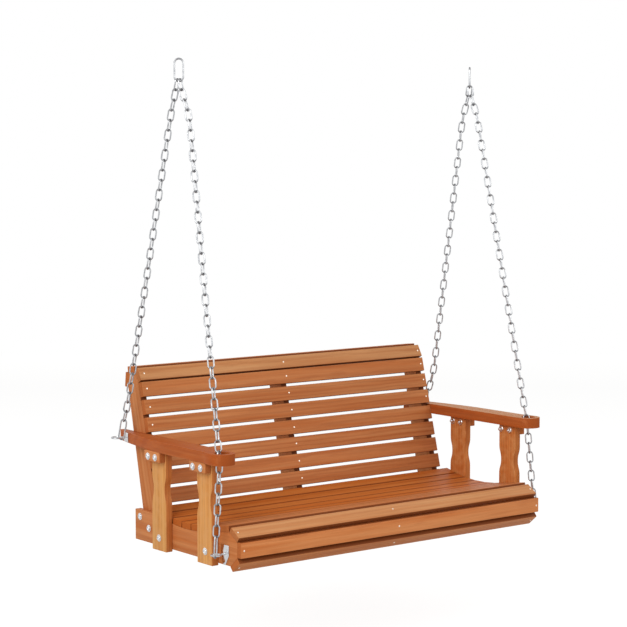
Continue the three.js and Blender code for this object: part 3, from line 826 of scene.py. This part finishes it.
def eye_bolt(end, eye):
    """A ring on a shank that runs in along x through its plate and timber."""
    inside = -(EYE_REACH + PLATE_THICK + eye["timber"])
    bpy.ops.object.select_all(action="DESELECT")
    bpy.ops.mesh.primitive_torus_add(
        major_radius=EYE_RADIUS * MM, minor_radius=EYE_WIRE / 2 * MM,
        major_segments=40, minor_segments=14,
    )
    ring = added("ring")
    neck = -EYE_RADIUS + 1.0
    shank = settle(cylinder(
        "shank", 14, EYE_WIRE / 2, neck - inside,
        location=((neck + inside) / 2 * MM, 0, 0), rotation=degrees(0, 90, 0),
    ))
    edit(shank, "FACE", lambda centre, normal: normal.x > 0.9)
    bpy.ops.transform.resize(value=(1, 1.5, 1.0))
    done()
    held = nut_end(inside) if eye["nut"] else []
    piece = join(f"screw_eye_{end}_left", [ring, shank, *held])
    bearing = Matrix.Rotation(math.radians(eye["bearing"]), 4, "Z")
    settle(piece, Matrix.Translation(on_bench(*eye["centre"])) @ bearing)
    smooth(piece, BOLT_SMOOTH)
    finish_both(piece, f"screw_eye_{end}", CHAIN_ZINC, f"eye_bolt_{end}")


def narrow_foot(piece, node):
    """Draws the lower edges of a front plate together, from the height where it narrows."""
    bpy.ops.mesh.bisect(plane_co=on_bench(0, 0, NARROWS), plane_no=(0, 0, 1))
    done()
    low, middle = on_bench(0, 0, FOOT_TOP).z, (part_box(node)[0].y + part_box(node)[1].y) / 2
    for way, foot in ((-1, FOOT_FRONT), (1, FOOT_REAR)):
        edit(piece, "VERT", lambda co: co.z < low and (co.y - middle) * way > 0)
        edge = max(way * vertex.co.y for vertex in piece.data.vertices if vertex.select) * way
        bpy.ops.transform.translate(value=(0, on_bench(0, foot, 0).y - edge, 0))
        done()
    edit(piece, "FACE", lambda centre, normal: True)


def plate(end, hand):
    """An eye's plate with softened edges. The front one narrows below its eye to a foot."""
    node = f"eye_plate_{end}_{hand}"
    piece = cut_from(node, f"plate_{end}_{hand}")
    if end == "front":
        narrow_foot(piece, node)
    ease_edges(PLATE_EASE, clamped=False)
    smooth(piece)
    finish(piece, STEEL, nodes=[node])


for end, eye in EYES.items():
    eye_bolt(end, eye)
    for hand in HANDS:
        plate(end, hand)
for spare in (WASHER, HEAD, NUT, END):
    bpy.data.objects.remove(spare)


# ---- Chains. A link is made in the xy plane with its long axis along y.
def link(name, inner_length, width, wire, steps, sides):
    """A round-wired link, with painted shade on its bends. Its size is its clear length, its
    width over all and its wire. Its wire has so many steps round both bends, and so many
    sides."""
    bend = (width - wire) / 2
    straight = inner_length / 2 - (width / 2 - wire)
    bpy.ops.object.select_all(action="DESELECT")
    bpy.ops.mesh.primitive_torus_add(
        major_radius=bend * MM, minor_radius=wire / 2 * MM,
        major_segments=steps, minor_segments=sides, rotation=(0, 0, math.pi / steps),
    )
    piece = settle(added(name))
    for way in (1, -1):
        edit(piece, "VERT", lambda co: co.y * way > 0)
        bpy.ops.transform.translate(value=(0, way * straight * MM, 0))
        done()
    # Painted shade on the bends, where the links bear on each other.
    reach = [abs(vertex.co.y) / MM - straight for vertex in piece.data.vertices]
    contact_shade = [min(1.0, max(0.0, past / bend)) ** 2 for past in reach]
    mark(piece, "contact_shade", "POINT", contact_shade)
    return piece


def facing(along, face):
    """Turn for a link with its long axis along a line and its face towards a given way."""
    along = along.normalized()
    face = (face - along * face.dot(along)).normalized()
    turn = Matrix((along.cross(face), along, face)).transposed()
    return turn.to_4x4()


def bow(stations, distance):
    """How far a chain stands off its straight line, at a distance along it. Each station
    gives a distance and the offsets there, outwards and to the back, in millimetres."""
    for (near, *low), (far, *high) in zip(stations, stations[1:]):
        if distance <= far:
            share = (distance - near) / (far - near)
            return Vector((*low, 0)).lerp(Vector((*high, 0)), share) * MM
    return Vector()


def chain(name, start, end, face, node, stations=(), leads=()):
    """Links from the inside of the first one's bend to the inside of the last one's. The
    leads are the angles by which the first few links are turned from the rest. Returns the
    way the next run's first link faces."""
    start, end = on_bench(*start), on_bench(*end)
    along = end - start
    length = along.length / MM
    count = 2 * round((length / CHAIN_PITCH - 1) / 2) + 1
    pitch = length / count
    pattern = link("pattern", pitch, *CHAIN_SIZE, *CHAIN_STEPS)
    joints = [start + along * i / count + bow(stations, pitch * i) for i in range(count + 1)]
    links = []
    for number, (top, foot) in enumerate(zip(joints, joints[1:])):
        lead = leads[number] if number < len(leads) else 0.0
        turned = Matrix.Rotation(lead, 3, along) @ face
        if number % 2:
            turned = along.cross(turned)
        stretch = Matrix.Scale((foot - top).length / (pitch * MM), 4, Vector((0, 1, 0)))
        place = Matrix.Translation((top + foot) / 2) @ facing(foot - top, turned) @ stretch
        links.append(settle(copy_of(pattern, "link"), place))
    bpy.data.objects.remove(pattern)
    run = join(name + "_left", links)
    smooth(run, WIRE_SMOOTH)
    finish_both(run, name, CHAIN_ZINC, node)
    return along.normalized().cross(face)


def single_link(name, foot, along, face, size, node, body="bench"):
    """A link of its own size that runs along a line from the inside of its lower bend."""
    piece = link(name + "_left", *size, *SINGLE_STEPS)
    settle(piece, Matrix.Translation((0, size[0] / 2 * MM, 0)))
    settle(piece, Matrix.Translation(on_bench(*foot)) @ facing(along, face))
    smooth(piece, WIRE_SMOOTH)
    finish_both(piece, name, CHAIN_ZINC, node, body)


CHAIN_PITCH, CHAIN_SIZE = 32.5, (25, 5)  # a short link's width and wire
TOP_SIZE, LONG_SIZE = (65, 34, 5.8), (64, 25, 5)  # clear length, width and wire
CHAIN_STEPS, SINGLE_STEPS = (24, 10), (32, 12)
HALF = math.sqrt(0.5)
CHAIN_TURN = math.radians(57)  # from across the swing towards its back
ACROSS = Vector((math.cos(CHAIN_TURN), math.sin(CHAIN_TURN), 0))
FRONT_START, REAR_START = (613.218, 346.818, 1502.107), (619.582, 353.182, 1502.107)
# The front chain turns in the hole of the arm, where its two runs stand a little apart.
TURN_POINT, LOWER_START = (654.5, 81.1, 325), (654.5, 81.1, 325.3)
TOP_FOOT = (616.4, 350, 1500)
FRONT_FOOT, FRONT_TOP = Vector((679.237, 70.863, 32.95)), Vector((673.869, 73.084, 96.385))
REAR_FOOT, REAR_TOP = Vector((664.982, 630.658, 332.95)), Vector((662.576, 615.958, 394.884))
# The first links stand turned from the rest, which keeps them clear of the top links.
LEADS = degrees(-12, -8, -4)
FRONT_BOW = (0, 0, 0), (32, 0, 0), (97, -5, -15.5), (140, -6.6, -19), (1207, 0, 0)
REAR_BOW = (0, 0, 0), (32, 0, 0), (97, -2, 8.5), (140, -3, 10.7), (1060, 3.3, -12), (1150, 0, 0)
single_link("link_top", TOP_FOOT, Vector((0, 0, 1)), Vector((HALF, -HALF, 0)), TOP_SIZE,
            "top_link", "top_links")
next_face = chain("chain_front_upper", FRONT_START, TURN_POINT, ACROSS, "front_chain_upper",
                  FRONT_BOW, LEADS)
chain("chain_front_lower", LOWER_START, FRONT_TOP, next_face, "front_chain_lower")
chain("chain_rear", REAR_START, REAR_TOP, ACROSS, "rear_chain", REAR_BOW, LEADS)
single_link("link_long_front", FRONT_FOOT, Vector(LOWER_START) - FRONT_FOOT,
            -ACROSS, LONG_SIZE, "front_long_link")
single_link("link_long_rear", REAR_FOOT, Vector(REAR_START) - REAR_FOOT,
            Vector((-ACROSS.y, ACROSS.x, 0)), LONG_SIZE, "rear_long_link")


# ---- Studio. Depths run along the view from the middle of the swing.
FLOOR_SIZE, FLOOR_HEIGHT = 17.1, -1.905
FLOOR_PALE, FLOOR_FAINT = (0.70, 0.69, 0.67, 1), (0.25, 0.25, 0.25, 1)
FLOOR_MIRRORED = 0.75  # its brightness in the swing's metal
GLOW_FROM, GLOW_NEAR, GLOW_FAR = -0.5, 0.88, 0.80
EDGE_WIDTH, EDGE_GLOW = 2.0, 0.05
WORLD_WHITE, WORLD_LIGHT = (1, 1, 1, 1), (1.0, 0.99, 0.97, 1)


def studio_floor():
    """A pale floor below the swing that shows nearly white and keeps the shadow. Its far
    edge lies square to the view. It is whitest near the view and at its far edge."""
    bpy.ops.object.select_all(action="DESELECT")
    bpy.ops.mesh.primitive_plane_add(size=FLOOR_SIZE, location=(0, 0, FLOOR_HEIGHT),
                                     rotation=(0, 0, VIEW_TURN[2]))
    floor = settle(added("studio_floor"))
    edit(floor, "FACE", lambda centre, normal: True)
    bpy.ops.mesh.subdivide(number_cuts=8)
    done()
    material, tree, surface = new_material("studio_floor")
    shown = tree.nodes["Material Output"]
    tree.nodes.remove(surface)
    rays = put(tree, "ShaderNodeLightPath").outputs
    pale = put(tree, "ShaderNodeBsdfDiffuse", None, {"Color": FLOOR_PALE}).outputs[0]
    faint = put(tree, "ShaderNodeBsdfDiffuse", None, {"Color": FLOOR_FAINT}).outputs[0]
    forward = (-math.sin(VIEW_TURN[2]), math.cos(VIEW_TURN[2]), 0)
    spot = put(tree, "ShaderNodeTexCoord").outputs["Object"]
    depth = vector_calc(tree, "DOT_PRODUCT", spot, forward, "Value")
    far = FLOOR_SIZE / 2
    glow = calc(tree, "ADD", ramp(tree, depth, GLOW_FROM, far, GLOW_NEAR, GLOW_FAR),
                ramp(tree, depth, far - EDGE_WIDTH, far, 0.0, EDGE_GLOW))
    white = put(tree, "ShaderNodeEmission", None, {"Strength": glow}).outputs[0]
    mirrored = put(tree, "ShaderNodeEmission", None, {"Strength": FLOOR_MIRRORED}).outputs[0]
    both = put(tree, "ShaderNodeAddShader", None, {0: faint, 1: white}).outputs[0]
    mixed = mix_shaders(tree, rays["Is Glossy Ray"], pale, mirrored)
    mixed = mix_shaders(tree, rays["Is Camera Ray"], mixed, both)
    tree.links.new(mixed, shown.inputs["Surface"])
    floor.data.materials.append(material)


def studio_light(name, place, aim, size, power):
    data = bpy.data.lights.new(name, "AREA")
    data.shape = "RECTANGLE"
    data.size, data.size_y = size
    data.energy = power
    lamp = bpy.data.objects.new(name, data)
    lamp.location = place
    lamp.rotation_euler = (Vector(aim) - Vector(place)).to_track_quat("-Z", "Y").to_euler()
    bpy.context.scene.collection.objects.link(lamp)


def studio_air(strength):
    """Even light from all round, with white behind the swing and in its reflections."""
    world = bpy.data.worlds.new("studio_air")
    bpy.context.scene.world = world
    world.use_nodes = True
    tree = world.node_tree
    tree.nodes.clear()
    rays = put(tree, "ShaderNodeLightPath").outputs
    white = calc(tree, "MAXIMUM", rays["Is Camera Ray"], rays["Is Glossy Ray"])
    white = calc(tree, "MAXIMUM", white, rays["Is Transmission Ray"])
    shown = put(tree, "ShaderNodeBackground", None,
                {"Color": WORLD_WHITE, "Strength": 1.0}).outputs[0]
    light = put(tree, "ShaderNodeBackground", None,
                {"Color": WORLD_LIGHT, "Strength": strength}).outputs[0]
    air = put(tree, "ShaderNodeOutputWorld")
    tree.links.new(mix_shaders(tree, white, light, shown), air.inputs["Surface"])


studio_floor()
studio_air(strength=0.60)
AIM = (0, -0.1, -1.1)
studio_light("key", (-6.4, -2.5, 3.1), AIM, size=(4.4, 4.4), power=263)
studio_light("fill", (2.7, -4.9, 1.0), AIM, size=(3.0, 3.0), power=54)
